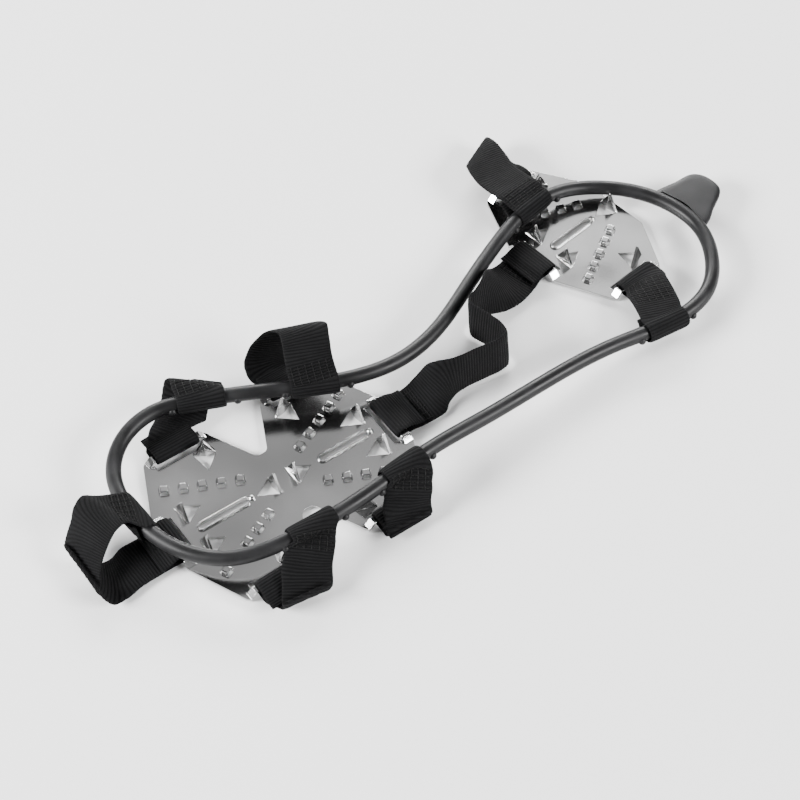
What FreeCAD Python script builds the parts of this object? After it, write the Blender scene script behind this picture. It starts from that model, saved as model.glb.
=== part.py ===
"""Microspikes: an elastic rubber ring that carries two spiked steel plates on webbing straps.

Frame: +X runs from toe to heel, +Z is up with the teeth pointing up and the sole side down.
The origin is the middle of the forefoot plate's sole side. All sizes are in millimetres.
"""
import FreeCAD, Part
import math
import os

V = FreeCAD.Vector
X, Y, Z = V(1, 0, 0), V(0, 1, 0), V(0, 0, 1)

# ---- plates --------------------------------------------------------------------------------
SHEET = 1.2                 # stainless sheet thickness
HALF_WIDTH = 40.0           # both plates, out to the side bars
LOBE_X = 28.9               # forefoot lobe centre, from the middle of the plate
END_X = 25.6                # from a lobe's centre to its end edge
END_HALF = 13.5             # half length of the straight end edge
SIDE_X = (-13.6, 15.0)      # where a lobe's side edge runs, from its centre
WAIST = (2.6, 16.5)         # half width and depth position of the forefoot's V notch
HEEL_REAR = (28.0, 17.0)    # rear edge of the heel plate and its half length
HEEL_POS = V(178.3, 37.8, 0)
HEEL_TURN = 7.5             # degrees that the heel plate lies turned
CORNER_R = 3.0

# ---- webbing slots and their raised bars ---------------------------------------------------
SLOT_LEN = 22.4
SLOT_WIDE = 3.2
SIDE_BAR = 3.4              # bar width on the sides
END_BAR = 4.2               # bar width at the ends
SIDE_SLOT_X = 1.0           # centre of a side slot, from the lobe's centre
BAR_LIFT = 2.6              # the bars are pressed up, so that webbing under them stays off the floor
BAR_RAMP = 2.6

# ---- teeth, lugs and the long middle slots -------------------------------------------------
TOOTH_BASE = 9.2
TOOTH_HOLE = 8.0            # hole length from the fold to its tip
TOOTH_TOP = 9.7             # height of a tooth's tip above the sole side
BEND_R = 1.8                # outside radius of the fold
CREASE = 0.9
END_TOOTH = (-13.2, 9.4)    # fold of the paired teeth at the wide end
WAIST_TOOTH_X = 23.8        # fold of the single tooth at the narrow end
SIDE_TOOTH = (9.6, 29.6)    # fold of the teeth at the sides
SIDE_TOOTH_TURN = 20.0
LUG_START = (14.4, 10.3)
LUG_STEP = (-7.0, 3.3)
LUGS_PER_ROW = 5
LUG_SPAN, LUG_WIDE, LUG_RISE, LUG_SHEET = 4.8, 2.7, 2.0, 0.8
LUG_HOLE = (3.4, 4.6)
MID_SLOT = (23.4, 3.0)
RIM_RISE, RIM_WALL = 0.9, 0.7

# ---- ring, tab and straps ------------------------------------------------------------------
TUBE_R = 3.2
WEB_WIDE, WEB_THICK = 20.0, 1.5
THREAD_WIDE, THREAD_RISE, THREAD_GAP = 0.5, 0.3, 0.4
SEWN_WIDE, SEWN_STEPS = 17.0, 2
SEWN_FROM, TAUT_SEWN_FROM, CONNECTING_SEWN_FROM = 12, 7, 6    # station where the sewn part starts
TUNNEL_R = TUBE_R + 1.35 + WEB_THICK / 2
RING_MIDDLE_Y = 12.0
TOE_STRAP_Y = 14.0
NUB_R = 1.7
NUB_OFFSET = 13.6           # from a strap's middle to the nubs each side of it
FOLD_X, FOLD_Z = 92.0, 22.0     # axis about which the ring and webbing fold in half
FOLD_NOTCH = 15.0               # degrees cleared on each side of the fold, below its axis
FLOOR_GAP = 0.4             # how far webbing stays above the floor
TAB_HINGE = V(224.0, 17.4, 6.8)     # on the ring's rearmost line, level with the tab's middle
TAB_ROOT, TAB_REACH, TAB_THICK, TAB_GAP = 28.0, 19.5, 3.0, 0.35
TAB_TIP = (-1.4, 11.8)              # the blunt tip's two corners, across the tab
TAB_CORNER_R = 5.5

# The ring's route, from the toe round by the +Y side. It lies slack, so its points follow no formula.
RING = [(-61, 17, 10), (-57, 37, 10), (-44, 50, 10.5), (-28, 53.5, 11), (-10, 47.5, 12),
        (10, 36.5, 13.6), (30, 26, 14.2), (48, 19, 13.8), (66, 16.5, 12.4), (90, 21, 11),
        (116, 33.5, 9.8), (140, 45.5, 9.2), (160, 53, 10), (180, 56, 9.6), (199, 51, 7.2),
        (213, 39, 6.8), (222, 22, 6.8), (223.5, 4, 6.8), (216, -13, 6.8), (202, -26, 7),
        (183, -30.5, 7.2), (150, -27, 8), (115, -26.5, 10), (80, -28, 12), (52, -29, 13.8),
        (25, -32, 14.4), (0, -33.5, 14.4), (-22, -32, 13.8), (-40, -26, 12), (-53, -12.5, 10.6)]


def polygon(points, z=0.0):
    return Part.makePolygon([V(x, y, z) for x, y in points] + [V(*points[0], z)])


def prism(points, z0, z1):
    return Part.Face(polygon(points, z0)).extrude(V(0, 0, z1 - z0))


def capsule(length, width, z0, z1):
    """A slot with round ends along X."""
    r = width / 2
    s = length / 2 - r
    edges = [Part.LineSegment(V(-s, -r, z0), V(s, -r, z0)).toShape(),
             Part.Arc(V(s, -r, z0), V(s + r, 0, z0), V(s, r, z0)).toShape(),
             Part.LineSegment(V(s, r, z0), V(-s, r, z0)).toShape(),
             Part.Arc(V(-s, r, z0), V(-s - r, 0, z0), V(-s, -r, z0)).toShape()]
    return Part.Face(Part.Wire(edges)).extrude(V(0, 0, z1 - z0))


def placed(shape, x, y, turn=0.0):
    copy = shape.copy()
    copy.Placement = FreeCAD.Placement(V(x, y, 0), FreeCAD.Rotation(Z, turn))
    return copy


def rounded_blank(points):
    """The flat plate with its corners rounded."""
    blank = prism(points, 0, SHEET)
    upright = [e for e in blank.Edges if abs(e.tangentAt(e.FirstParameter).z) > 0.9]
    return blank.makeFillet(CORNER_R, upright)


# Every feature maker below works at the origin and gives (what is cut away, what is added).

def tooth():
    """A triangle cut on two sides and folded up about X. Its hole runs towards +Y."""
    half = TOOTH_BASE / 2
    hole = prism([(-half, -BEND_R), (half, -BEND_R), (half, 0), (0, TOOTH_HOLE), (-half, 0)], -1, SHEET + 1)
    inner = BEND_R - SHEET
    q = math.sqrt(0.5)
    low = Part.Arc(V(0, -BEND_R, 0), V(0, -BEND_R + BEND_R * q, BEND_R - BEND_R * q), V(0, 0, BEND_R)).toShape()
    high = Part.Arc(V(0, -SHEET, BEND_R), V(0, -BEND_R + inner * q, BEND_R - inner * q),
                    V(0, -BEND_R, SHEET)).toShape()
    ends = [Part.LineSegment(V(0, 0, BEND_R), V(0, -SHEET, BEND_R)).toShape(),
            Part.LineSegment(V(0, -BEND_R, SHEET), V(0, -BEND_R, 0)).toShape()]
    root = Part.Face(Part.Wire([low, ends[0], high, ends[1]])).extrude(V(TOOTH_BASE, 0, 0))
    root.translate(V(-half, 0, 0))
    left, right = V(-half, -SHEET, BEND_R - 0.5), V(half, -SHEET, BEND_R - 0.5)
    middle, tip = V(0, -SHEET + CREASE, BEND_R - 0.5), V(0, -SHEET + 0.2, TOOTH_TOP)
    blades = [Part.Face(Part.makePolygon([a, b, tip, a])).extrude(V(0, SHEET, 0))
              for a, b in ((left, middle), (middle, right))]
    return hole, root.fuse(blades)


def lug():
    """A little bridge pressed up between two slits. It spans X and opens towards +Y and -Y."""
    hole = Part.makeBox(LUG_HOLE[0], LUG_HOLE[1], SHEET + 2, V(-LUG_HOLE[0] / 2, -LUG_HOLE[1] / 2, -1))
    foot, top, crown = LUG_SPAN / 2, SHEET + LUG_RISE, LUG_SPAN / 2 - 0.7
    outline = [(-foot, 0.3), (-crown, top), (crown, top), (foot, 0.3),
               (foot - LUG_SHEET, 0.3), (crown - LUG_SHEET * 0.6, top - LUG_SHEET),
               (-crown + LUG_SHEET * 0.6, top - LUG_SHEET), (-foot + LUG_SHEET, 0.3)]
    wire = Part.makePolygon([V(x, -LUG_WIDE / 2, z) for x, z in outline + outline[:1]])
    bridge = Part.Face(wire).extrude(V(0, LUG_WIDE, 0))
    crests = [e for e in bridge.Edges if abs(e.tangentAt(e.FirstParameter).y) > 0.9
              and abs(e.CenterOfMass.z - top) < 0.01]
    return hole, bridge.makeFillet(0.7, crests)


def middle_slot():
    """The long slot along the lobe, with its pressed-up rim and the round nub at its heel end."""
    length, width = MID_SLOT
    hole = capsule(length, width, -1, SHEET + 3)
    rim = capsule(length + 2 * RIM_WALL, width + 2 * RIM_WALL, SHEET - 0.2, SHEET + RIM_RISE)
    crest = [e for e in rim.Edges if abs(e.CenterOfMass.z - SHEET - RIM_RISE) < 0.01]
    rim = rim.makeFillet(0.35, crest).cut(hole)
    nub = Part.makeSphere(1.5, V(length / 2 + 1.6, 0, SHEET))
    nub = nub.common(Part.makeBox(4, 4, 4, V(length / 2 - 0.4, -2, 0.4)))
    return hole, rim.fuse(nub)


def strap_bar(bar_width):
    """A slot along X for the webbing, with the bar on its +Y side pressed up. Y = 0 is the outer edge."""
    half = SLOT_LEN / 2
    inner = -bar_width
    hole = Part.makeBox(SLOT_LEN, SLOT_WIDE, SHEET + 2, V(-half, inner - SLOT_WIDE, -1))
    gone = Part.makeBox(SLOT_LEN + 2 * BAR_RAMP, bar_width + 1, SHEET + 2, V(-half - BAR_RAMP, inner, -1))
    lift = BAR_LIFT
    under = [(-half - BAR_RAMP, 0), (-half - 0.2, lift), (half + 0.2, lift), (half + BAR_RAMP, 0)]
    over = [(x, z + SHEET) for x, z in reversed(under)]
    wire = Part.makePolygon([V(x, inner, z) for x, z in under + over + under[:1]])
    bar = Part.Face(wire).extrude(V(0, bar_width, 0))
    long_edges = [e for e in bar.Edges if abs(e.tangentAt(e.FirstParameter).x) > 0.95 and e.Length > SLOT_LEN - 1]
    return hole.fuse(gone), bar.makeFillet(0.4, long_edges)


TOOTH, LUG, MIDDLE_SLOT = tooth(), lug(), middle_slot()
SIDE_STRAP_BAR, END_STRAP_BAR = strap_bar(SIDE_BAR), strap_bar(END_BAR)


def lobe(x, facing):
    """Places of one lobe's features. facing is 1 when the lobe's wide end points to -X, or -1."""
    turn = 0 if facing > 0 else 180
    spots = [(MIDDLE_SLOT, 0, 0, 0)]
    for side in (1, -1):
        spots.append((TOOTH, END_TOOTH[0] * facing, END_TOOTH[1] * side, -90 + turn))
        spots.append((TOOTH, SIDE_TOOTH[0] * facing, SIDE_TOOTH[1] * side,
                      90 * (1 + side) + (SIDE_TOOTH_TURN * -side * facing)))
        spots.append((SIDE_STRAP_BAR, SIDE_SLOT_X * facing, HALF_WIDTH * side, 0 if side > 0 else 180))
        row_turn = math.degrees(math.atan2(LUG_STEP[1], LUG_STEP[0])) * side * facing
        for k in range(LUGS_PER_ROW):
            spots.append((LUG, (LUG_START[0] + k * LUG_STEP[0]) * facing,
                          (LUG_START[1] + k * LUG_STEP[1]) * side, row_turn))
    spots.append((TOOTH, WAIST_TOOTH_X * facing, 0, 90 + turn))
    spots.append((END_STRAP_BAR, -END_X * facing, 0, 90 + turn))
    return [(feature, x + fx, fy, angle) for feature, fx, fy, angle in spots]


def plate(outline, spots):
    blank = rounded_blank(outline)
    holes = [placed(feature[0], x, y, turn) for feature, x, y, turn in spots]
    added = [placed(feature[1], x, y, turn) for feature, x, y, turn in spots]
    return blank.cut(Part.Compound(holes)).fuse(added).removeSplitter()


def forefoot_plate():
    quarter = [(LOBE_X + END_X, END_HALF), (LOBE_X - SIDE_X[0], HALF_WIDTH),
               (LOBE_X - SIDE_X[1], HALF_WIDTH), (WAIST[0], WAIST[1])]
    half = quarter + [(-x, y) for x, y in reversed(quarter)]
    outline = half + [(x, -y) for x, y in reversed(half)]
    return plate(outline, lobe(-LOBE_X, 1) + lobe(LOBE_X, -1))


def heel_plate():
    half = [(HEEL_REAR[0], HEEL_REAR[1]), (SIDE_X[1], HALF_WIDTH), (SIDE_X[0], HALF_WIDTH), (-END_X, END_HALF)]
    outline = half + [(x, -y) for x, y in reversed(half)]
    shape = plate(outline, lobe(0, 1))
    shape.Placement = FreeCAD.Placement(HEEL_POS, FreeCAD.Rotation(Z, HEEL_TURN))
    return shape


def on_heel(x, y, z=0.0):
    return FreeCAD.Placement(HEEL_POS, FreeCAD.Rotation(Z, HEEL_TURN)).multVec(V(x, y, z))


# ---- ring ----------------------------------------------------------------------------------

ring_line = Part.BSplineCurve()
ring_line.interpolate([V(*p) for p in RING], PeriodicFlag=True)


def ring_place(on_stretch, miss):
    """The point, direction and curve parameter of the ring that misses least, on the stretch asked for."""
    first, span = ring_line.FirstParameter, ring_line.LastParameter - ring_line.FirstParameter
    steps = [first + span * k / 2000 for k in range(2000)]
    best = min((u for u in steps if on_stretch(ring_line.value(u))), key=lambda u: miss(ring_line.value(u)))
    return ring_line.value(best), V(*ring_line.tangent(best)[0]).normalize(), best


def ring_at(x, side):
    """Where the ring crosses x, on the given side of its middle line."""
    return ring_place(lambda p: (p.y - RING_MIDDLE_Y) * side > 0, lambda p: abs(p.x - x))


def ring_toe():
    """Where the toe strap sits on the ring."""
    return ring_place(lambda p: p.x < 0, lambda p: abs(p.y - TOE_STRAP_Y))


def tube(u0, u1):
    """The rubber tube along one stretch of the ring."""
    line = ring_line.copy()
    if u1 > line.LastParameter:
        pieces = [(u0, line.LastParameter), (line.FirstParameter, u1 - line.LastParameter + line.FirstParameter)]
    else:
        pieces = [(u0, u1)]
    edges = [Part.Edge(line, a, b) for a, b in pieces]
    wire = Part.Wire(edges)
    start, along = line.value(u0), V(*line.tangent(u0)[0])
    circle = Part.Wire(Part.Circle(start, along, TUBE_R).toShape())
    return wire.makePipeShell([circle], True, True)


def fold_notch():
    """The wedge kept clear under the fold's axis, so that both halves can swing past it."""
    reach = FOLD_Z + 5
    wide = 0.4 + reach * math.tan(math.radians(FOLD_NOTCH))
    corners = [(FOLD_X - wide, FOLD_Z - reach), (FOLD_X + wide, FOLD_Z - reach), (FOLD_X + 0.4, FOLD_Z),
               (FOLD_X + 0.4, FOLD_Z + 20), (FOLD_X - 0.4, FOLD_Z + 20), (FOLD_X - 0.4, FOLD_Z)]
    wire = Part.makePolygon([V(x, -80, z) for x, z in corners + corners[:1]])
    return Part.Face(wire).extrude(V(0, 200, 0))


# ---- webbing -------------------------------------------------------------------------------
# A band is a list of stations. Each is (centre, width direction), and neighbours give its heading.

def section(stations, k):
    """The centre, the direction across the band and its normal at one station."""
    centre, width = stations[k]
    heading = stations[min(k + 1, len(stations) - 1)][0] - stations[max(k - 1, 0)][0]
    normal = width.cross(heading).normalize()
    return centre, heading.cross(normal).normalize(), normal


def corners_at(stations, k):
    centre, across, normal = section(stations, k)
    a, b = across * (WEB_WIDE / 2), normal * (WEB_THICK / 2)
    return [centre + a + b, centre - a + b, centre - a - b, centre + a - b]


def above_floor(stations):
    """The same stations, each raised where an edge of the webbing would dip under the floor."""
    for _ in range(4):
        raised = []
        for k, (centre, width) in enumerate(stations):
            _, across, normal = section(stations, k)
            lowest = WEB_WIDE / 2 * abs(across.z) + WEB_THICK / 2 * abs(normal.z) + FLOOR_GAP
            raised.append((V(centre.x, centre.y, max(centre.z, lowest)), width))
        stations = raised
    return stations


def band(stations):
    """A closed solid of flat triangles along the stations, one webbing width by one thickness."""
    sections = [corners_at(stations, k) for k in range(len(stations))]
    first, last = sections[0], sections[-1]
    triangles = [first[:3], [first[0], first[2], first[3]], last[:3], [last[0], last[2], last[3]]]
    for near, far in zip(sections, sections[1:]):
        for k in range(4):
            j = (k + 1) % 4
            triangles += [[near[k], near[j], far[j]], [near[k], far[j], far[k]]]
    return closed_solid(triangles)


def closed_solid(facets):
    solid = Part.Solid(Part.Shell([Part.Face(Part.makePolygon(corners + corners[:1])) for corners in facets]))
    if solid.Volume < 0:
        solid.reverse()
    return solid


def closer(stations, first, last):
    """The stations with SEWN_STEPS more, evenly spaced, in each gap from first to last."""
    dense = list(stations[:first + 1])
    for k in range(first, last):
        (a, wide_a), (b, wide_b) = stations[k], stations[k + 1]
        for step in range(1, SEWN_STEPS + 1):
            t = step / (SEWN_STEPS + 1)
            dense.append((a * (1 - t) + b * t, wide_a * (1 - t) + wide_b * t))
        dense.append((b, wide_b))
    return dense + list(stations[last + 1:])


def sewn_rows(stations, first):
    """Two rows of thread on the band's upper face, one each side of the corner that follows first."""
    threads = []
    corner = first + SEWN_STEPS + 1
    for k in (corner - 1, corner + 1):
        centre, across, normal = section(stations, k)
        heading = across.cross(normal).normalize() * (THREAD_WIDE / 2)
        across, outward = across * (SEWN_WIDE / 2), normal * math.copysign(1, normal.z)
        base = centre + outward * (WEB_THICK / 2 + THREAD_GAP)
        corners = [base + across + heading, base - across + heading, base - across - heading, base + across - heading]
        threads.append(Part.Face(Part.makePolygon(corners + corners[:1])).extrude(outward * THREAD_RISE))
    return Part.Compound(threads)


def tunnel(centre, along, outward, first=-30.0, last=-300.0, steps=10):
    """Stations round the ring's tube. Angles count from the outward side, upwards."""
    side = (outward - along * outward.dot(along)).normalize()
    up = side.cross(along)
    up = up if up.z > 0 else up * -1
    found = []
    for k in range(steps + 1):
        angle = math.radians(first + (last - first) * k / steps)
        found.append((centre + (side * math.cos(angle) + up * math.sin(angle)) * TUNNEL_R, along))
    return found


def bar_wrap(centre, along, outward, bar_width):
    """Stations that come in under a plate's bar, turn up through its slot and end on top of it."""
    low, high = BAR_LIFT / 2 + 0.15, BAR_LIFT + SHEET + 0.8 + WEB_THICK / 2
    inside = -bar_width / 2 - 0.35 - WEB_THICK / 2
    turn = (high - low) / 2
    spots = [(6.0, low), (inside + turn, low), (inside + turn * 0.3, low + turn * 0.35), (inside, low + turn),
             (inside + turn * 0.3, high - turn * 0.35), (inside + turn, high), (5.0, high)]
    return [(centre + outward * d + Z * z, along) for d, z in spots]


def toward(spots, start, end):
    """Stations through hand-laid points, turning the width evenly from one direction to the other."""
    found = []
    for k, spot in enumerate(spots):
        t = min(1.0, (k + 1) / (len(spots) - 1))
        found.append((V(*spot), (start * (1 - t) + end * t).normalize()))
    return found


def ring_strap(place, outward, bar, slack):
    """Stations of a strap from the ring to a plate's bar: sewn tunnel, slack, and the wrap round the bar."""
    centre, along, _ = place
    bar_centre, bar_along, bar_out, bar_width = bar
    if along.dot(bar_along) < 0:
        along = along * -1
    round_tube = tunnel(centre, along, outward)
    side = (outward - along * outward.dot(along)).normalize()
    tail = [(round_tube[0][0] + side * d - Z * 0.6, along) for d in (7.0, 3.0)]
    middle = toward(slack, along, bar_along)
    stations = tail + round_tube + middle + bar_wrap(bar_centre, bar_along, bar_out, bar_width)
    return closer(above_floor(stations), SEWN_FROM, SEWN_FROM + 2)


def side_bar(x, side):
    return V(x, side * (HALF_WIDTH - SIDE_BAR / 2), 0), X, Y * side, SIDE_BAR


def heel_bar(x, y, along, outward, bar_width):
    turn = FreeCAD.Rotation(Z, HEEL_TURN)
    return on_heel(x, y), turn.multVec(along), turn.multVec(outward), bar_width


FRONT_SLOT_X = LOBE_X - SIDE_SLOT_X
HEEL_SIDE_Y = HALF_WIDTH - SIDE_BAR / 2
FRONT_BAR = (V(-LOBE_X - END_X + END_BAR / 2, 0, 0), Y, X * -1, END_BAR)
REAR_BAR = (V(LOBE_X + END_X - END_BAR / 2, 0, 0), Y, X, END_BAR)
HEEL_FRONT_BAR = heel_bar(-END_X + END_BAR / 2, 0, Y, X * -1, END_BAR)

# name: where it holds the ring, which way it leaves, the bar that it wraps, and how its slack lies
STRAPS = {
    "toe_strap": (ring_toe(), V(-1, 0, 0), FRONT_BAR,
                  [(-67.5, 14.6, 16.2), (-75, 14.9, 19), (-82, 12, 18), (-88, 5.5, 13.5), (-91, 1.2, 8.5),
                   (-91, 0, 4.6), (-88, 0, 2.4), (-80, 0, 1.6), (-65, 0, 1.5)]),
    "front_strap_left": (ring_at(-9, 1), V(0.4, 1, 0), side_bar(-FRONT_SLOT_X, 1),
                         [(-8, 53.5, 17.3), (-7, 59, 16.5), (-8, 62, 11), (-12, 61, 5.6), (-17, 56, 2.6),
                          (-23, 50, 1.7)]),
    "rear_strap_left": (ring_at(32, 1), V(0.4, 1, 0), side_bar(FRONT_SLOT_X, 1),
                        [(34.5, 31.5, 22), (37, 38, 29.3), (36.8, 43.5, 31.2), (34, 49, 27.5), (29.5, 54, 18),
                         (26, 55.5, 8.6), (26, 52.5, 3), (27.4, 48, 1.6)]),
    "front_strap_right": (ring_at(-8, -1), V(-0.2, -1, 0), side_bar(-FRONT_SLOT_X, -1),
                          [(-13, -40.5, 17), (-18, -47, 14.6), (-23.4, -52, 11), (-27, -54.6, 7.4),
                           (-28, -54.4, 4.2), (-28, -52, 2), (-28, -47.5, 1.5)]),
    "rear_strap_right": (ring_at(37, -1), V(-0.2, -1, 0), side_bar(FRONT_SLOT_X, -1),
                         [(35.5, -38, 17.5), (32.5, -44.5, 14.4), (29.5, -49.5, 9.5), (28.1, -51.2, 5.4),
                          (28, -50, 2.6), (28, -47, 1.5)]),
    "heel_strap_left": (ring_at(168, 1), V(0, 1, 0), heel_bar(SIDE_SLOT_X, HEEL_SIDE_Y, X, Y, SIDE_BAR),
                        [(168.5, 61, 13.4), (170, 69, 12), (171.5, 77, 10.6), (173, 88, 12), (174, 97, 10.6),
                         (174.4, 101.8, 6.6), (174, 99, 3), (173.2, 91, 1.7)]),
    "heel_strap_right": (ring_at(174, -1), V(0, 1, 0), heel_bar(SIDE_SLOT_X, -HEEL_SIDE_Y, X, Y * -1, SIDE_BAR),
                         None),
}


def taut_heel_strap():
    """Stations of the right heel strap, which is pulled flat between its bar and the ring in two layers."""
    (centre, along, _), _, bar, _ = STRAPS["heel_strap_right"]
    bar_centre, bar_along, bar_out, bar_width = bar
    along = along if along.dot(bar_along) > 0 else along * -1
    wrap = bar_wrap(bar_centre, bar_along, bar_out, bar_width)
    round_tube = tunnel(centre, along, bar_out * -1, 40.0, 318.0)
    start, end = wrap[-1][0], round_tube[0][0]
    run = end - start
    upper = toward([tuple(start + run * t + Z * 2.4 * math.sin(math.pi * t)) for t in (0.3, 0.6, 0.85)],
                   bar_along, along)
    below = toward([tuple(round_tube[-1][0] - run.normalize() * d + Z * d / 12) for d in (6.0, 11.0)],
                   along, bar_along)
    return closer(wrap + upper + round_tube + below, TAUT_SEWN_FROM, TAUT_SEWN_FROM + 2)


def connecting_strap():
    """Stations of the strap between the plates. Its middle stands on edge and turns twice."""
    lean = V(0.0, 0.12, 1.0).normalize()
    heel_bar_along = HEEL_FRONT_BAR[1]
    front = [(62, -0.4), (67, -0.8), (72.5, -1.4), (78, -2), (83, -2.6)]
    middle = [(88, -3), (94, -3.4), (100, -4), (106, -4.6), (110.6, -3.2), (111.6, 1), (110.4, 7),
              (108.4, 13.5), (107.4, 18), (109.2, 21), (113.6, 22.4)]
    rear = [(120, 24.2), (128, 26.4), (136, 29), (143, 31.6)]
    stations = bar_wrap(*REAR_BAR)[::-1]
    stations += [(V(*p, 0), Y * (1 - t) + lean * t) for p, t in zip(front, (0.02, 0.1, 0.35, 0.7, 0.92))]
    stations += [(V(*p, 0), lean) for p in middle]
    stations += [(V(*p, 0), heel_bar_along * (1 - t) + lean * t) for p, t in zip(rear, (0.85, 0.5, 0.18, 0.03))]
    stations = above_floor([(centre, width.normalize()) for centre, width in stations])
    stations += bar_wrap(*HEEL_FRONT_BAR)
    ends = len(stations)
    stations = closer(stations, ends - CONNECTING_SEWN_FROM - 4, ends - CONNECTING_SEWN_FROM - 2)
    return closer(stations, CONNECTING_SEWN_FROM, CONNECTING_SEWN_FROM + 2)


# ---- pull tab ------------------------------------------------------------------------------

def pull_tab():
    """The flat grip behind the ring's heel end, a triangle with round corners.

    Its root is straight, so that it can swing about the ring's rearmost line without touching the tube.
    """
    half, root = TAB_ROOT / 2, TUBE_R + TAB_GAP
    tip_low, tip_high = TAB_TIP
    shape = prism([(root, -half), (root + TAB_REACH, tip_low), (root + TAB_REACH, tip_high), (root, half)],
                  0, TAB_THICK)
    upright = [e for e in shape.Edges if abs(e.tangentAt(e.FirstParameter).z) > 0.9 and e.CenterOfMass.x > root + 1]
    shape = shape.makeFillet(TAB_CORNER_R, upright)
    return shape.translated(TAB_HINGE - Z * TAB_THICK / 2)


os.makedirs("parts", exist_ok=True)
notch = fold_notch()
cross_left, cross_right = ring_at(FOLD_X, 1)[2], ring_at(FOLD_X, -1)[2]
whole_turn = ring_line.LastParameter - ring_line.FirstParameter

nodes = {"forefoot_plate": forefoot_plate(), "heel_plate": heel_plate(), "pull_tab": pull_tab()}
nubs = []
for name, (place, outward, bar, slack) in STRAPS.items():
    sewing = name.replace("strap", "stitching")
    if slack:
        stations = ring_strap(place, outward, bar, slack)
        nodes[sewing] = sewn_rows(stations, SEWN_FROM)
    else:
        stations = taut_heel_strap()
        nodes[sewing] = sewn_rows(stations, TAUT_SEWN_FROM)
    nodes[name] = band(stations)
    for way in (-1, 1):
        u = ring_line.parameterAtDistance(way * NUB_OFFSET, place[2])
        nubs.append(Part.makeSphere(NUB_R, ring_line.value(u) + V(0, -TUBE_R + 0.5, -0.8)))

rear_tube = tube(cross_left, cross_right).cut(notch)
front_tube = tube(cross_right, cross_left + whole_turn).cut(notch)
nodes["ring_front"] = front_tube.fuse([n for n in nubs if n.CenterOfMass.x < FOLD_X])
nodes["ring_rear"] = rear_tube.fuse([n for n in nubs if n.CenterOfMass.x > FOLD_X])

joined = connecting_strap()
halves = sorted(band(joined).cut(notch).Solids, key=lambda s: s.CenterOfMass.x)
nodes["connecting_strap_front"], nodes["connecting_strap_rear"] = halves[0], halves[-1]
nodes["connecting_stitching_front"] = sewn_rows(joined, CONNECTING_SEWN_FROM)
nodes["connecting_stitching_rear"] = sewn_rows(joined, len(joined) - CONNECTING_SEWN_FROM - 8)

for name, shape in nodes.items():
    shape.exportStep(f"parts/{name}.step")
    print(name, len(shape.Solids), "solids", round(shape.Volume, 1), "mm3")
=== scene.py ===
"""Microspikes: two spiked steel plates carried on webbing straps by an elastic rubber ring.

+X runs from toe to heel and +Z is up, with the teeth upwards. Routes are in millimetres, and
become metres where a mesh is made.
"""

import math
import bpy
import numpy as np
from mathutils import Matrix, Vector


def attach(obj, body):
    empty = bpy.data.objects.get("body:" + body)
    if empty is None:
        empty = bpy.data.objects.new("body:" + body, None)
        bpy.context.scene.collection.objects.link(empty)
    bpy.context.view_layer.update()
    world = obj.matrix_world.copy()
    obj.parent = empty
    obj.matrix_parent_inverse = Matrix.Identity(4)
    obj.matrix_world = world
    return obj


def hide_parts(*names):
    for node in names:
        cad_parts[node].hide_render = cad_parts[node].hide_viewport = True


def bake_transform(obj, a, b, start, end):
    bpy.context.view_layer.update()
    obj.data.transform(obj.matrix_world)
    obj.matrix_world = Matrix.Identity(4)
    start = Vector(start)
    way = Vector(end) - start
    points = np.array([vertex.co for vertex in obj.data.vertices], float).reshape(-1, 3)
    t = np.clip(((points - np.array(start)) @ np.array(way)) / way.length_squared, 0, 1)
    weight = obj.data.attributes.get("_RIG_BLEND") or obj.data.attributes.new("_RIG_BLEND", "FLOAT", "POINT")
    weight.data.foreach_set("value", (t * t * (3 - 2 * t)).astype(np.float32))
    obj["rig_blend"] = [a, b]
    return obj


bl_info = {
    "name": "Microspikes",
    "version": (1, 0, 0),
    "blender": (4, 5, 0),
    "location": "View3D > Sidebar > Microspikes",
    "description": "Builds a pair of spiked plates on a rubber ring with webbing straps",
    "category": "Object",
}

import bpy
import numpy as np
from mathutils import Vector

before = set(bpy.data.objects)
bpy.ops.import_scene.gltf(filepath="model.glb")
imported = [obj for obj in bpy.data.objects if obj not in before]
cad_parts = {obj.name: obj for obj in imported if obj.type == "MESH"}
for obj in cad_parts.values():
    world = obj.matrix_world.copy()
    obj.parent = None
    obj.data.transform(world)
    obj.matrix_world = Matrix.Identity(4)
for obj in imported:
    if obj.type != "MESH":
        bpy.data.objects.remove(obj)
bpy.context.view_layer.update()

MM = 0.001
FORE, HEEL = "forefoot_half", "heel_half"
FLOOR_Z = -0.0008
FLOOR_GAP = 0.95          # the lowest middle of a layer of webbing, in millimetres
TAB_MIDDLE_Z = 6.8
TAB_BEND = (0.2215, 0.0174, 0.0068), (0.2290, 0.0174, 0.0068)
TAUT_STRAP_X = 174.0      # where the right heel strap holds the ring
NUB_DROP = (0, 0.5, -0.8)  # a stop's middle from the tube's near side, in millimetres


# ---- routes --------------------------------------------------------------------------------

# The ring's middle line, from the toe round by the left side.
RING = [(-61, 17, 10), (-57, 37, 10), (-44, 50, 10.5), (-28, 53.5, 11), (-10, 47.5, 12),
        (10, 36.5, 13.6), (30, 26, 14.2), (48, 19, 13.8), (66, 16.5, 12.4), (90, 21, 11),
        (116, 33.5, 9.8), (140, 45.5, 9.2), (160, 53, 10), (180, 56, 9.6), (199, 51, 7.2),
        (213, 39, 6.8), (222, 22, 6.8), (223.5, 4, 6.8), (216, -13, 6.8), (202, -26, 7),
        (183, -30.5, 7.2), (150, -27, 8), (115, -26.5, 10), (80, -28, 12), (52, -29, 13.8),
        (25, -32, 14.4), (0, -33.5, 14.4), (-22, -32, 13.8), (-40, -26, 12), (-53, -12.5, 10.6)]
RING_MIDDLE_Y = 12.0
FOLD_START, FOLD_END = (0.078, 0.0, 0.010), (0.106, 0.0, 0.010)

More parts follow.
